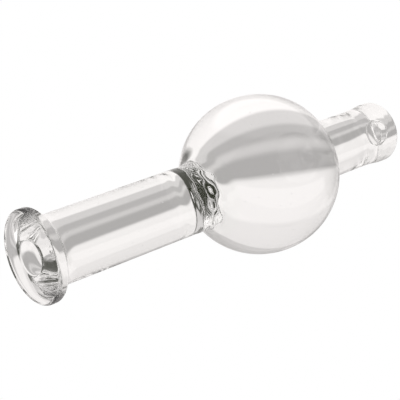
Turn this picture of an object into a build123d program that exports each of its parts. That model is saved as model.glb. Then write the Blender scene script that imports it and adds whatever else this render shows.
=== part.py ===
from build123d import *
import os

# A clear glass rod with one ball worked onto it: a front rod with a flared lip
# and a shallow recess in its face, the solid ball, and a handle with a shallow
# round recess in its side near its flat end.
# It stands on its lip: +Z runs up its axis from the lip to the handle's end,
# and the origin is the centre of the lip's foot. The side recess faces -Y.
# Lengths are in millimetres, and heights are measured up from the foot.

# Front rod, which stands under the ball, and its flared lip
front_radius = 6.15
lip_radius = 8.3
lip_rim_height = 1.3  # full-width part of the lip, before its neck curves in
lip_rim_rounding = 0.6

# Shallow recess in the lip's face
recess_radius = 2.7
recess_depth = 3.0
recess_rounding = 1.5
mouth_rounding = 0.7

# Solid ball
ball_radius = 15.0
ball_height = 51.3  # of its centre

# Weld fillets between the ball and its two rods
front_fillet = 4.0
handle_fillet = 1.6

# Handle, the upper rod, which widens a little towards its end
handle_radius = 5.7
handle_flare_bottom = 77.0
handle_flare_top = 81.8
end_rim_radius = 6.05
end_rim_rounding = 0.9
handle_top = 84.2

# Shallow round recess in the handle's side
side_recess_radius = 2.4
side_recess_depth = 1.4
side_recess_height = 78.6
side_recess_rounding = 0.3

# Heights where one worked length of glass is fused to the next
foot = 0.0
lip_top = 4.8
front_weld_bottom = 32.5
front_weld_top = 38.9
handle_weld_bottom = 64.6
handle_weld_top = 67.2


def corner(radius, height):
    """The corner of the open sketch that is nearest to a radius and height."""
    return vertices().sort_by_distance((radius, height))[0]


def meeting(rod_radius):
    """Distance from the ball's centre, along the axis, where a rod meets it."""
    return (ball_radius**2 - rod_radius**2) ** 0.5


# Half outline of all the glass, right of the axis
with BuildSketch() as glass:
    front_meeting = ball_height - meeting(front_radius)
    handle_meeting = ball_height + meeting(handle_radius)
    with BuildLine():
        Polyline((0, handle_top), (0, foot), (lip_radius, foot), (lip_radius, lip_rim_height))
        TangentArc((front_radius, lip_top), (lip_radius, lip_rim_height), tangent=(0, -1))
        Line((front_radius, lip_top), (front_radius, front_meeting))
        ThreePointArc(
            (front_radius, front_meeting),
            (ball_radius, ball_height),
            (handle_radius, handle_meeting),
        )
        Line((handle_radius, handle_meeting), (handle_radius, handle_flare_bottom))
        TangentArc(
            (handle_radius, handle_flare_bottom), (end_rim_radius, handle_flare_top), tangent=(0, 1)
        )
        Polyline((end_rim_radius, handle_flare_top), (end_rim_radius, handle_top), (0, handle_top))
    make_face()
    fillet([corner(lip_radius, foot), corner(lip_radius, lip_rim_height)], lip_rim_rounding)
    fillet(corner(front_radius, front_meeting), front_fillet)
    fillet(corner(handle_radius, handle_meeting), handle_fillet)
    fillet(corner(end_rim_radius, handle_top), end_rim_rounding)
    Rectangle(recess_radius, recess_depth, align=Align.MIN, mode=Mode.SUBTRACT)
    fillet(corner(recess_radius, recess_depth), recess_rounding)
    fillet(corner(recess_radius, foot), mouth_rounding)


def glass_between(bottom, top):
    """Draw the half section of the glass between two heights."""
    add(glass.sketch)
    with Locations((0, bottom)):
        Rectangle(ball_radius, top - bottom, align=Align.MIN, mode=Mode.INTERSECT)


# Flared lip with the recess in its face, which the piece stands on
with BuildPart() as front_lip:
    with BuildSketch(Plane.XZ):
        glass_between(foot, lip_top)
    revolve(axis=Axis.Z)

# Straight front rod
with BuildPart() as front_rod:
    with BuildSketch(Plane.XZ):
        glass_between(lip_top, front_weld_bottom)
    revolve(axis=Axis.Z)

# Thick weld between the front rod and the ball
with BuildPart() as front_weld:
    with BuildSketch(Plane.XZ):
        glass_between(front_weld_bottom, front_weld_top)
    revolve(axis=Axis.Z)

# Solid ball
with BuildPart() as ball:
    with BuildSketch(Plane.XZ):
        glass_between(front_weld_top, handle_weld_bottom)
    revolve(axis=Axis.Z)

# Weld ring between the ball and the handle
with BuildPart() as handle_weld:
    with BuildSketch(Plane.XZ):
        glass_between(handle_weld_bottom, handle_weld_top)
    revolve(axis=Axis.Z)

# Handle, with the flat-bottomed round recess in its side
with BuildPart() as handle_rod:
    with BuildSketch(Plane.XZ):
        glass_between(handle_weld_top, handle_top)
    revolve(axis=Axis.Z)
    with BuildSketch(Plane.XZ.offset(handle_radius - side_recess_depth)):
        with Locations((0, side_recess_height)):
            Circle(side_recess_radius)
    extrude(amount=2 * side_recess_depth, mode=Mode.SUBTRACT)
    recess_rim = edges(Select.LAST).filter_by(GeomType.BSPLINE)
    recess_floor = edges(Select.LAST).filter_by(GeomType.CIRCLE)
    fillet(recess_rim + recess_floor, side_recess_rounding)

front_lip.part.label = "front_lip"
front_rod.part.label = "front_rod"
front_weld.part.label = "front_weld"
ball.part.label = "ball"
handle_weld.part.label = "handle_weld"
handle_rod.part.label = "handle_rod"

os.makedirs("parts", exist_ok=True)
export_step(front_lip.part, "parts/front_lip.step")
export_step(front_rod.part, "parts/front_rod.step")
export_step(front_weld.part, "parts/front_weld.step")
export_step(ball.part, "parts/ball.step")
export_step(handle_weld.part, "parts/handle_weld.step")
export_step(handle_rod.part, "parts/handle_rod.step")
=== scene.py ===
import math
import random

import bpy
import numpy as np
from mathutils import Matrix, Vector


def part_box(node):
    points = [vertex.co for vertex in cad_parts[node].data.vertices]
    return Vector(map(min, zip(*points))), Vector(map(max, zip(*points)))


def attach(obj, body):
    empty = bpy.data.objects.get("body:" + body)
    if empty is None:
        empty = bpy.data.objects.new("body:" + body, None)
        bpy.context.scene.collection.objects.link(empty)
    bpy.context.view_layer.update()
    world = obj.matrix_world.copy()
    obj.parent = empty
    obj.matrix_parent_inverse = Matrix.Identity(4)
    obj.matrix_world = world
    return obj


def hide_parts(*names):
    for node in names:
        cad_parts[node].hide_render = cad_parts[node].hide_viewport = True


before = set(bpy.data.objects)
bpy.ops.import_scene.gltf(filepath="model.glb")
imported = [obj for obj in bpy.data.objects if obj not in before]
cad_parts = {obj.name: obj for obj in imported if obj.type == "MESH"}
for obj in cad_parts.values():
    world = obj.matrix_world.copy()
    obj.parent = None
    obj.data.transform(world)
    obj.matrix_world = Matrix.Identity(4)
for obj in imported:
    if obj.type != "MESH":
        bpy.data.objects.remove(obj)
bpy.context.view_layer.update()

# A clear solid glass rod with a ball worked onto it, which stands on its flared
# lip, +Z up its axis. Each worked length of glass is one closed piece. All of
# them are cut from the same skin, so that the welds show no step.
# The profile is worked out in millimetres and made in metres.

MM = 0.001


# ---------------------------------------------------------------- frame sizes

def box_mm(node):
    """Lowest and highest corner of a CAD node, in millimetres."""
    low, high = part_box(node)
    return Vector(low) / MM, Vector(high) / MM


def half_width(node):
    """Largest radius of a CAD node, in millimetres."""
    low, high = box_mm(node)
    return (high.x - low.x) / 2


front_radius = half_width("front_rod")
lip_radius = half_width("front_lip")
ball_radius = half_width("ball")
end_radius = half_width("handle_rod")

lip_top = box_mm("front_lip")[1].z
weld_bottom = box_mm("front_weld")[0].z
weld_top = box_mm("front_weld")[1].z
ring_bottom = box_mm("handle_weld")[0].z
ring_top = box_mm("handle_weld")[1].z
top = box_mm("handle_rod")[1].z

# The front weld ends on the ball, which gives the ball's centre
weld_radius = half_width("front_weld")
ball_height = weld_top + math.sqrt(ball_radius**2 - weld_radius**2)

# Sizes that no box gives
handle_radius = 5.7
lip_rim_height = 1.3
lip_rim_rounding = 0.6
recess_radius = 2.7
recess_depth = 3.0
recess_rounding = 1.5
mouth_rounding = 0.7
front_fillet = 4.0
handle_fillet = 1.6
end_rounding = 0.9
flare_bottom = 77.0
flare_top = 81.8
side_radius = 2.4  # of the round recess in the handle's side
side_depth = 1.4
side_height = 78.6
side_rounding = 0.3

# Mesh density
STEP = 0.4  # along the profile
COLUMNS = 192  # round the axis, column 0 faces the side recess
PATCH_COLUMNS = 36  # either side of the side recess
PATCH_ROWS = 16


# -------------------------------------------------------------------- profile

def line(start, end):
    """Points along a straight run, without its last point."""
    count = max(1, round(math.dist(start, end) / STEP))
    return [
        (start[0] + (end[0] - start[0]) * i / count, start[1] + (end[1] - start[1]) * i / count)
        for i in range(count)
    ]


def arc(centre, radius, start, end, finest=5):
    """Points along an arc between two angles in degrees, without its last point."""
    count = max(finest, round(math.radians(abs(end - start)) * radius / STEP))
    angles = [math.radians(start + (end - start) * i / count) for i in range(count)]
    return [(centre[0] + radius * math.cos(a), centre[1] + radius * math.sin(a)) for a in angles]


def ball_fillet(rod, fillet):
    """A fillet between a rod and the ball: its centre's radius, its centre's
    distance from the ball's centre along the axis, and where it meets the ball,
    as an angle in degrees off the ball's equator."""
    across = rod + fillet
    along = math.sqrt((ball_radius + fillet) ** 2 - across**2)
    return across, along, math.degrees(math.atan2(along, across))


def flare(height):
    """Radius of the handle, which widens a little towards its end."""
    rise = flare_top - flare_bottom
    bend = (rise**2 + (end_radius - handle_radius) ** 2) / (2 * (end_radius - handle_radius))
    above = max(0.0, height - flare_bottom)
    return handle_radius + bend - math.sqrt(bend**2 - min(above, rise) ** 2)


patch_low = 2 * side_height - flare_top
patch_heights = np.linspace(flare_top, patch_low, PATCH_ROWS + 1)


def outer_profile():
    """(radius, height) from the centre of the handle's end down to the mouth."""
    low_across, low_along, low_angle = ball_fillet(front_radius, front_fillet)
    high_across, high_along, high_angle = ball_fillet(handle_radius, handle_fillet)
    neck_narrowing = lip_radius - front_radius
    neck_rise = lip_top - lip_rim_height
    neck = (neck_rise**2 + neck_narrowing**2) / (2 * neck_narrowing)
    neck_end = 180 + math.degrees(math.asin((neck_rise - lip_rim_rounding * 0.5) / neck))
    mouth = recess_radius + mouth_rounding
    points = line((0, top), (end_radius - end_rounding, top))
    points += arc((end_radius - end_rounding, top - end_rounding), end_rounding, 90, 0)
    points += line((end_radius, top - end_rounding), (end_radius, flare_top))
    points += [(flare(z), z) for z in patch_heights[:-1]]
    points += line((handle_radius, patch_low), (handle_radius, ball_height + high_along))
    points += arc((high_across, ball_height + high_along), handle_fillet, 180, 180 + high_angle)
    points += arc((0, ball_height), ball_radius, high_angle, -low_angle)
    points += arc((low_across, ball_height - low_along), front_fillet, 180 - low_angle, 180)
    points += line((front_radius, ball_height - low_along), (front_radius, lip_top))
    points += arc((front_radius + neck, lip_top), neck, 180, neck_end)
    shoulder = (lip_radius - lip_rim_rounding, lip_rim_rounding)
    points += arc((shoulder[0], lip_rim_height), lip_rim_rounding, 60, 0)
    points += arc(shoulder, lip_rim_rounding, 0, -90)
    points += line((shoulder[0], 0), (mouth, 0))
    points += arc((mouth, mouth_rounding), mouth_rounding, 270, 180)
    return points


def recess_profile():
    """(radius, height) from the mouth into the recess, as far as the axis."""
    corner = (recess_radius - recess_rounding, recess_depth - recess_rounding)
    points = line((recess_radius, mouth_rounding), (recess_radius, corner[1]))
    points += arc(corner, recess_rounding, 0, 90)
    return points + line((corner[0], recess_depth), (0, recess_depth)) + [(0, recess_depth)]


def with_heights(points, heights):
    """The same path, with a point wherever it crosses one of the heights."""
    made = [points[0]]
    for previous, point in zip(points, points[1:]):
        for height in heights:
            low, high = sorted((previous[1], point[1]))
            if low + 1e-6 < height < high - 1e-6:
                share = (height - previous[1]) / (point[1] - previous[1])
                made.append((previous[0] + share * (point[0] - previous[0]), height))
        made.append(point)
    return made


weld_heights = (lip_top, weld_bottom, weld_top, ring_bottom, ring_top)
outer = with_heights(outer_profile(), weld_heights)
path = np.array(outer + recess_profile())
last_row = len(path) - 1


# ------------------------------------------------------------ hand-made shape

# How far the working of the glass moves its skin, in millimetres. The counts
# and phases of the waves below are arbitrary.
OVALITY = 0.035
ROD_WOBBLE = 0.02
BALL_OVALITY = 0.05
BALL_WOBBLE = 0.04
RING_RIPPLE = 0.03
WELD_RIPPLE = 0.09
TWIST = 0.02  # radians for each millimetre up the axis


def bump(height, centre, width):
    """A smooth rise and fall about a height."""
    return np.exp(-(((height - centre) / width) ** 2))


def hand_made(radius, angle, height):
    """Radius of the glass once it is worked by hand, in millimetres."""
    turn = angle + TWIST * height
    wobble = OVALITY * np.sin(2 * turn + 0.6) + ROD_WOBBLE * np.sin(3 * turn + 0.11 * height)
    ball = bump(height, ball_height, 0.6 * ball_radius)
    uneven = BALL_OVALITY * np.sin(2 * turn + 2.0) + BALL_WOBBLE * np.sin(0.35 * height + turn)
    wobble = wobble + ball * uneven
    ring = bump(height, ring_bottom + 1.2, 1.5) * np.sin(9 * angle + 1.5 * np.sin(2 * angle))
    weld = bump(height, weld_top - 3.0, 2.6)
    weld = weld * (np.sin(5 * angle + 1.9 * height) + 0.7 * np.sin(9 * angle - 2.6 * height + 1.0))
    wobble = wobble + RING_RIPPLE * ring + WELD_RIPPLE * weld
    return radius + wobble * np.minimum(1.0, radius / 2)


def place(radius, angle, height):
    """Points in millimetres for radii, angles and heights of the skin."""
    worked = hand_made(radius, angle, height)
    return np.stack([worked * np.cos(angle), worked * np.sin(angle), height + 0 * worked], axis=-1)


FACING_RECESS = -math.pi / 2
angles = FACING_RECESS + 2 * math.pi * np.arange(COLUMNS) / COLUMNS
grid = place(path[:, 0, None], angles[None, :], path[:, 1, None])


def grid_normals(points):
    """Unit normals of a grid of points, from the differences between them."""
    along = np.gradient(points, axis=0)
    around = np.roll(points, -1, axis=1) - np.roll(points, 1, axis=1)
    normals = np.cross(along, around)
    return normals / np.maximum(np.linalg.norm(normals, axis=-1, keepdims=True), 1e-12)


normals = grid_normals(grid)
normals[0] = (0, 0, 1)
normals[last_row] = (0, 0, -1)


# ----------------------------------------------------------------- glass mesh

class Skin:
    """Collects the vertices, normals and faces of one closed piece of glass."""

    def __init__(self):
        self.points = []
        self.normals = []
        self.faces = []
        self.is_weld = []
        self.index = {}

    def add(self, point, normal):
        """A new vertex."""
        self.points.append(point)
        self.normals.append(normal)
        return len(self.points) - 1

    def vertex(self, row, column):
        """The vertex at a grid place, added the first time it is asked for."""
        key = (row, 0 if row in (0, last_row) else column % COLUMNS)
        if key not in self.index:
            self.index[key] = self.add(grid[key], normals[key])
        return self.index[key]

    def face(self, corners, weld=False):
        """A new face, less any corner that comes twice."""
        self.faces.append([v for i, v in enumerate(corners) if v != corners[i - 1]])
        self.is_weld.append(weld)

    def strip(self, first, last, gap=None):
        """Faces between two rows, but for those of the gap round the side recess."""
        for row in range(first, last):
            for column in range(COLUMNS):
                if gap and gap[0] <= row < gap[1] and in_patch(column):
                    continue
                low, right = row + 1, column + 1
                corners = ((row, column), (low, column), (low, right), (row, right))
                self.face([self.vertex(*corner) for corner in corners])

    def weld(self, height, faces_up):
        """The plane right across the glass where this piece is fused to the next."""
        facing = 1 if faces_up else -1
        row = row_at(height)
        middle = self.add(np.array((0, 0, height)), np.array((0, 0, facing)))
        for column in range(COLUMNS):
            rim = [self.vertex(row, column), self.vertex(row, column + 1)]
            self.face([*rim[::facing], middle], weld=True)


def in_patch(column):
    """Whether a column's faces belong to the patch round the side recess."""
    return (column + PATCH_COLUMNS) % COLUMNS < 2 * PATCH_COLUMNS


def row_at(height):
    """The row of the skin at a weld's height."""
    return min(range(len(outer)), key=lambda row: abs(path[row, 1] - height))


# ---------------------------------------------------------------- side recess

OUTER_RINGS = 10
ROUND_RINGS = 5
WALL_RINGS = 4
FLOOR_RINGS = 8


def patch_loop():
    """Places round the patch, anticlockwise from outside, as (column, level).
    Level 0 is the patch's top and PATCH_ROWS its bottom."""
    left, right = -PATCH_COLUMNS, PATCH_COLUMNS
    loop = [(column, PATCH_ROWS) for column in range(left, right)]
    loop += [(right, level) for level in range(PATCH_ROWS, 0, -1)]
    loop += [(column, 0) for column in range(right, left, -1)]
    loop += [(left, level) for level in range(PATCH_ROWS)]
    return loop


def on_handle(across, height):
    """Points of the handle's skin on the side that the recess is on."""
    radius = np.vectorize(flare)(height)
    return place(radius, np.arctan2(-np.sqrt(radius**2 - across**2), across), height)


def recess_sheet(loop):
    """Rings of points from the handle's skin into the recess, to the middle of its floor."""
    turn = 2 * math.pi * np.array([column for column, level in loop]) / COLUMNS
    heights = patch_heights[[level for column, level in loop]]
    rim = np.stack([np.vectorize(flare)(heights) * np.sin(turn), heights])
    around = np.arctan2(heights - side_height, rim[0])
    edge = np.stack([np.cos(around), np.sin(around)])
    centre = np.array([[0.0], [side_height]])
    floor = side_depth - handle_radius

    def flat_ring(share):
        across, height = rim + share * (centre + (side_radius + side_rounding) * edge - rim)
        return on_handle(across, height)

    def round_ring(share):
        bend = share * math.pi / 2
        across, height = centre + (side_radius + side_rounding * (1 - math.sin(bend))) * edge
        ring = on_handle(across, height)
        ring[:, 1] += side_rounding * (1 - math.cos(bend))
        return ring

    def inner_ring(radius, rise):
        across, height = centre + radius * edge
        return np.stack([across, np.full(len(loop), floor - rise), height], axis=-1)

    def corner_ring(share):
        bend = share * math.pi / 2
        inset = side_rounding * (1 - math.cos(bend))
        return inner_ring(side_radius - inset, side_rounding * (1 - math.sin(bend)))

    rings = [flat_ring((i / OUTER_RINGS) ** 0.8) for i in range(OUTER_RINGS)]
    rings += [round_ring(i / ROUND_RINGS) for i in range(ROUND_RINGS + 1)]
    first, last = rings[-1], corner_ring(0)
    rings += [first + (last - first) * i / WALL_RINGS for i in range(1, WALL_RINGS)]
    rings += [corner_ring(i / ROUND_RINGS) for i in range(ROUND_RINGS + 1)]
    flat = side_radius - side_rounding
    rings += [inner_ring(flat * (1 - i / FLOOR_RINGS), 0) for i in range(1, FLOOR_RINGS)]
    return np.array(rings)


def add_side_recess(skin, top_row):
    """Close the gap in the handle's skin with the round recess."""
    loop = patch_loop()
    rings = recess_sheet(loop)
    ring_normals = -grid_normals(rings)
    rows = [[skin.vertex(top_row + level, column) for column, level in loop]]
    for ring, ring_normal in zip(rings[1:], ring_normals[1:]):
        rows.append([skin.add(point, normal) for point, normal in zip(ring, ring_normal)])
    middle = skin.add(np.array((0, side_depth - handle_radius, side_height)), np.array((0, -1, 0)))
    for i in range(len(loop)):
        j = (i + 1) % len(loop)
        for row, following in zip(rows, rows[1:]):
            skin.face([row[i], row[j], following[j], following[i]])
        skin.face([rows[-1][i], rows[-1][j], middle])


# ---------------------------------------------------------------------- seeds

ROD_SEEDS = 30
BALL_SEEDS = 45
SEED_SIZES = (0.035, 0.08)  # radii
SEED_SIDES = 8
SEED_TILTS = (-90, -45, 0, 45, 90)  # degrees from one pole to the other


def seed_ring(tilt):
    """Outward directions round a seed at one tilt, or the one at a pole."""
    rise, reach = math.sin(math.radians(tilt)), math.cos(math.radians(tilt))
    turns = [2 * math.pi * k / SEED_SIDES for k in range(SEED_SIDES if abs(tilt) < 90 else 1)]
    return [np.array((reach * math.cos(turn), reach * math.sin(turn), rise)) for turn in turns]


def add_seeds(skin, count, spot, seed):
    """Fine bubbles trapped in the glass, as small closed hollows."""
    rng = random.Random(seed)
    rings = [seed_ring(tilt) for tilt in SEED_TILTS]
    for _ in range(count):
        centre = np.array(spot(rng))
        size = rng.uniform(*SEED_SIZES)
        rows = [[skin.add(centre + size * out, -out) for out in ring] for ring in rings]
        for row, following in zip(rows, rows[1:]):
            for i in range(SEED_SIDES):
                j = i + 1
                low, high = len(row), len(following)
                corners = (row[i % low], following[i % high], following[j % high], row[j % low])
                skin.face(corners)


def in_ball(rng):
    """A place in the solid ball."""
    turn = rng.uniform(0, 2 * math.pi)
    rise = rng.uniform(-0.7, 0.8)
    deep = ball_radius * rng.uniform(0.55, 0.95)
    reach = deep * math.sqrt(1 - rise**2)
    return reach * math.cos(turn), reach * math.sin(turn), ball_height + deep * rise


def in_front_rod(rng):
    """A place in the front rod."""
    turn = rng.uniform(0, 2 * math.pi)
    deep = rng.uniform(0.3, 0.92) * front_radius
    height = rng.uniform(lip_top + 1, weld_bottom - 1)
    return deep * math.cos(turn), deep * math.sin(turn), height


# ------------------------------------------------------------------ materials

def node_material(name):
    """An empty node material and its node tree."""
    material = bpy.data.materials.new(name)
    material.use_nodes = True
    tree = material.node_tree
    tree.nodes.clear()
    return material, tree


GLASS_IOR = 1.473


def glass_material(name, tint, draw, ripple, depth):
    """Clear fire-polished glass with a ripple: its scale, its depth in metres, and
    how far it is drawn out along the axis."""
    material, tree = node_material(name)
    nodes, links = tree.nodes, tree.links
    output = nodes.new("ShaderNodeOutputMaterial")
    glass = nodes.new("ShaderNodeBsdfPrincipled")
    glass.inputs["Base Color"].default_value = (*tint, 1)
    glass.inputs["Roughness"].default_value = 0.0
    glass.inputs["IOR"].default_value = GLASS_IOR
    glass.inputs["Transmission Weight"].default_value = 1.0
    coordinates = nodes.new("ShaderNodeTexCoord")
    stretch = nodes.new("ShaderNodeMapping")
    stretch.inputs["Scale"].default_value = (1, 1, draw)
    waves = nodes.new("ShaderNodeTexNoise")
    waves.inputs["Scale"].default_value = ripple
    waves.inputs["Detail"].default_value = 2.0
    relief = nodes.new("ShaderNodeBump")
    relief.inputs["Strength"].default_value = 1.0
    relief.inputs["Distance"].default_value = depth
    links.new(coordinates.outputs["Object"], stretch.inputs["Vector"])
    links.new(stretch.outputs["Vector"], waves.inputs["Vector"])
    links.new(waves.outputs["Fac"], relief.inputs["Height"])
    links.new(relief.outputs["Normal"], glass.inputs["Normal"])
    links.new(glass.outputs["BSDF"], output.inputs["Surface"])
    return material


def clear_weld():
    """The inside of a weld, where light goes straight on."""
    material, tree = node_material("clear_weld")
    output = tree.nodes.new("ShaderNodeOutputMaterial")
    clear = tree.nodes.new("ShaderNodeBsdfTransparent")
    tree.links.new(clear.outputs["BSDF"], output.inputs["Surface"])
    return material


rod_tint, weld_tint, ball_tint = (0.985, 0.992, 0.986), (0.97, 0.985, 0.972), (0.99, 0.995, 0.992)
rod_glass = glass_material("rod_glass", rod_tint, draw=0.05, ripple=700.0, depth=0.000004)
weld_glass = glass_material("weld_glass", weld_tint, draw=0.6, ripple=500.0, depth=0.00001)
ball_glass = glass_material("ball_glass", ball_tint, draw=0.4, ripple=150.0, depth=0.00001)
weld_plane = clear_weld()


# --------------------------------------------------------------------- pieces

def make_piece(node, skin, material):
    """One worked length of glass, which stands for its CAD node."""
    mesh = bpy.data.meshes.new(node + "_glass")
    mesh.from_pydata([tuple(point * MM) for point in skin.points], [], skin.faces)
    mesh.materials.append(material)
    mesh.materials.append(weld_plane)
    mesh.polygons.foreach_set("material_index", [int(weld) for weld in skin.is_weld])
    mesh.polygons.foreach_set("use_smooth", [True] * len(skin.faces))
    mesh.normals_split_custom_set_from_vertices([tuple(normal) for normal in skin.normals])
    mesh.validate()
    mesh.update()
    piece = bpy.data.objects.new(node + "_glass", mesh)
    bpy.context.scene.collection.objects.link(piece)
    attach(piece, "root")
    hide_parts(node)


def length_of_glass(low, high):
    """The skin between two weld heights, closed by a weld plane at each."""
    skin = Skin()
    skin.strip(row_at(high), row_at(low))
    skin.weld(high, faces_up=True)
    skin.weld(low, faces_up=False)
    return skin


def lip_skin():
    """The lip, whose skin turns in at the mouth and lines the recess."""
    skin = Skin()
    skin.strip(row_at(lip_top), last_row)
    skin.weld(lip_top, faces_up=True)
    return skin


def handle_skin():
    """The handle, with the round recess in its side."""
    skin = Skin()
    top_row = row_at(flare_top)
    skin.strip(0, row_at(ring_top), gap=(top_row, top_row + PATCH_ROWS))
    skin.weld(ring_top, faces_up=False)
    add_side_recess(skin, top_row)
    return skin


rod_skin = length_of_glass(lip_top, weld_bottom)
add_seeds(rod_skin, ROD_SEEDS, in_front_rod, seed=3)
ball_skin = length_of_glass(weld_top, ring_bottom)
add_seeds(ball_skin, BALL_SEEDS, in_ball, seed=8)

make_piece("front_lip", lip_skin(), rod_glass)
make_piece("front_rod", rod_skin, rod_glass)
make_piece("front_weld", length_of_glass(weld_bottom, weld_top), weld_glass)
make_piece("ball", ball_skin, ball_glass)
make_piece("handle_weld", length_of_glass(ring_bottom, ring_top), weld_glass)
make_piece("handle_rod", handle_skin(), rod_glass)


# --------------------------------------------------------------------- camera

# The camera is below the lip and looks up along the glass, which leans across
# the picture. The roll turns the axis to point right and a little up.
VIEW_RISE = 36.7  # degrees above level
VIEW_TURN = -4.0  # degrees about the axis, off the side recess
VIEW_ROLL = 69.6
VIEW_DISTANCE = 236.8
VIEW_AIM = Vector((1.2, 7.1, ball_height - 9.6))
LENS = 113.9
SENSOR = 36.0
CLIP = (0.01, 10)  # metres


def make_camera():
    """A long lens, rolled and set back from the point it looks at. Gives its pose."""
    data = bpy.data.cameras.new("camera")
    data.lens = LENS
    data.sensor_width = SENSOR
    camera = bpy.data.objects.new("camera", data)
    turn = Matrix.Rotation(math.radians(VIEW_TURN), 4, "Z")
    rise = Matrix.Rotation(math.radians(90 + VIEW_RISE), 4, "X")
    roll = Matrix.Rotation(math.radians(VIEW_ROLL), 4, "Z")
    pose = turn @ rise @ roll
    back = pose @ Vector((0, 0, VIEW_DISTANCE))
    camera.matrix_world = Matrix.Translation((VIEW_AIM + back) * MM) @ pose
    data.clip_start, data.clip_end = CLIP
    bpy.context.scene.collection.objects.link(camera)
    bpy.context.scene.camera = camera
    return pose


pose = make_camera()


# ------------------------------------------------------------- stage and light

# The studio is a tunnel of cards and soft boxes along one line, which rises to
# the right and runs away from the camera. Each stretch starts at an angle in
# degrees round that line: 0 is behind the glass, 90 overhead, 180 at the camera.
STUDIO_TILT = 8.0  # of that line, up to the right
STUDIO_DEPTH = 30.0  # of that line, away from the camera
DARK_ROOM = 0.03
STUDIO = (
    (-180, DARK_ROOM),
    (-156, 1.30),  # soft box below the camera
    (-128, 0.60),  # front edge of the table
    (-98, 1.05),  # white table under the glass
    (-37, 0.70),  # shade behind the glass
    (-24, 0.50),
    (-15, 0.68),  # light strip in the shade
    (-9, 0.475),  # grey foot of the wall
    (3, 0.97),  # lit wall
    (30, 0.86),  # wall above it
    (62, 0.62),  # ceiling
    (126, DARK_ROOM),
)
STUDIO_SOFTNESS = 3.0  # degrees from one stretch to the next
STUDIO_TINT = (1.0, 0.965, 0.955)
DARK_TINT = (0.95, 1.05, 0.65)
BRIGHTEST = 2.0
FAR_END = (19.0, 25.0)  # degrees off the line, where its dark far end gives way


def studio_axes():
    """Directions away from the camera and up, both square to the studio's line."""
    tilt, depth = math.radians(STUDIO_TILT), math.radians(STUDIO_DEPTH)
    across = Vector((math.cos(tilt), math.sin(tilt), 0)) * math.cos(depth)
    line = across + Vector((0, 0, -math.sin(depth)))
    ahead = Vector((0, 0, -1))
    away = (ahead - line * ahead.dot(line)).normalized()
    return pose @ away, pose @ line.cross(away), pose @ line


def studio_ramp(nodes, links):
    """Nodes that give the studio's brightness in the direction that is looked in."""
    direction = nodes.new("ShaderNodeTexCoord").outputs["Generated"]
    parts = []
    for axis in studio_axes():
        dot = nodes.new("ShaderNodeVectorMath")
        dot.operation = "DOT_PRODUCT"
        dot.inputs[1].default_value = axis
        links.new(direction, dot.inputs[0])
        parts.append(dot.outputs["Value"])
    angle = nodes.new("ShaderNodeMath")
    angle.operation = "ARCTAN2"
    links.new(parts[1], angle.inputs[0])
    links.new(parts[0], angle.inputs[1])
    share = nodes.new("ShaderNodeMapRange")
    share.inputs["From Min"].default_value = -math.pi
    share.inputs["From Max"].default_value = math.pi
    links.new(angle.outputs["Value"], share.inputs["Value"])
    ramp = nodes.new("ShaderNodeValToRGB")
    stops = [(0.0, STUDIO[0][1])]
    for (_, before), (start, after) in zip(STUDIO, STUDIO[1:]):
        stops.append(((start + 180 - STUDIO_SOFTNESS / 2) / 360, before))
        stops.append(((start + 180 + STUDIO_SOFTNESS / 2) / 360, after))
    elements = ramp.color_ramp.elements
    while len(elements) > 1:
        elements.remove(elements[-1])
    for i, (position, level) in enumerate(stops):
        element = elements[0] if i == 0 else elements.new(position)
        element.position = position
        tint = DARK_TINT if level == DARK_ROOM else STUDIO_TINT
        element.color = (*(level / BRIGHTEST * channel for channel in tint), 1)
    links.new(share.outputs["Result"], ramp.inputs["Fac"])
    far_end = nodes.new("ShaderNodeMapRange")
    far_end.inputs["From Min"].default_value = math.cos(math.radians(FAR_END[1]))
    far_end.inputs["From Max"].default_value = math.cos(math.radians(FAR_END[0]))
    links.new(parts[2], far_end.inputs["Value"])
    mix = nodes.new("ShaderNodeMixRGB")
    dark = [DARK_ROOM / BRIGHTEST * channel for channel in DARK_TINT]
    mix.inputs["Color2"].default_value = (*dark, 1)
    links.new(far_end.outputs["Result"], mix.inputs["Fac"])
    links.new(ramp.outputs["Color"], mix.inputs["Color1"])
    return mix.outputs["Color"]


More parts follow.
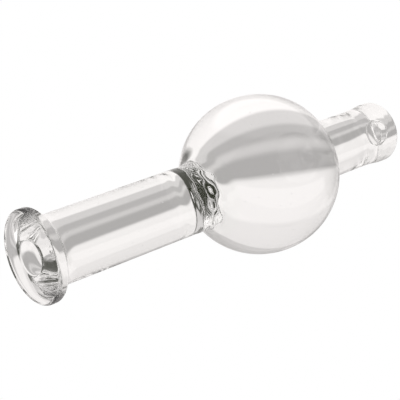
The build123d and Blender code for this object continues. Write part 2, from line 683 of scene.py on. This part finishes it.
def make_world():
    """White to the camera and to the floor, the studio to the glass."""
    world = bpy.data.worlds.new("studio")
    bpy.context.scene.world = world
    world.use_nodes = True
    nodes, links = world.node_tree.nodes, world.node_tree.links
    nodes.clear()
    output = nodes.new("ShaderNodeOutputWorld")
    mix = nodes.new("ShaderNodeMixShader")
    path_kind = nodes.new("ShaderNodeLightPath")
    seen = nodes.new("ShaderNodeBackground")
    seen.inputs["Color"].default_value = (1, 1, 1, 1)
    light = nodes.new("ShaderNodeBackground")
    light.inputs["Strength"].default_value = BRIGHTEST
    links.new(studio_ramp(nodes, links), light.inputs["Color"])
    plain = nodes.new("ShaderNodeMath")
    plain.operation = "MAXIMUM"
    links.new(path_kind.outputs["Is Camera Ray"], plain.inputs[0])
    links.new(path_kind.outputs["Is Diffuse Ray"], plain.inputs[1])
    links.new(plain.outputs["Value"], mix.inputs["Fac"])
    links.new(light.outputs["Background"], mix.inputs[1])
    links.new(seen.outputs["Background"], mix.inputs[2])
    links.new(mix.outputs["Shader"], output.inputs["Surface"])


make_world()


FLOOR_HALF = 3.0  # metres
FLOOR_HEIGHT = -0.0001
FLOOR_COLOUR = (0.9, 0.9, 0.89, 1)


def make_floor():
    """A pale floor that only the camera sees, and only from above, so that the
    glass shows the studio alone and the view up from below is clear."""
    material, tree = node_material("pale_floor")
    nodes, links = tree.nodes, tree.links
    output = nodes.new("ShaderNodeOutputMaterial")
    clear = nodes.new("ShaderNodeBsdfTransparent")
    paint = nodes.new("ShaderNodeBsdfDiffuse")
    paint.inputs["Color"].default_value = FLOOR_COLOUR
    path_kind = nodes.new("ShaderNodeLightPath")
    side = nodes.new("ShaderNodeNewGeometry")
    from_above = nodes.new("ShaderNodeMath")
    from_above.operation = "SUBTRACT"
    from_above.use_clamp = True
    links.new(path_kind.outputs["Is Camera Ray"], from_above.inputs[0])
    links.new(side.outputs["Backfacing"], from_above.inputs[1])
    mix = nodes.new("ShaderNodeMixShader")
    links.new(from_above.outputs["Value"], mix.inputs["Fac"])
    links.new(clear.outputs["BSDF"], mix.inputs[1])
    links.new(paint.outputs["BSDF"], mix.inputs[2])
    links.new(mix.outputs["Shader"], output.inputs["Surface"])
    square = ((-1, -1), (1, -1), (1, 1), (-1, 1))
    corners = [(FLOOR_HALF * x, FLOOR_HALF * y, FLOOR_HEIGHT) for x, y in square]
    mesh = bpy.data.meshes.new("floor")
    mesh.from_pydata(corners, [], [(0, 1, 2, 3)])
    mesh.materials.append(material)
    floor = bpy.data.objects.new("floor", mesh)
    bpy.context.scene.collection.objects.link(floor)


make_floor()

scene = bpy.context.scene
scene.view_settings.view_transform = "Standard"
scene.cycles.max_bounces = 24
scene.cycles.transmission_bounces = 24
scene.cycles.glossy_bounces = 16
scene.cycles.transparent_max_bounces = 32
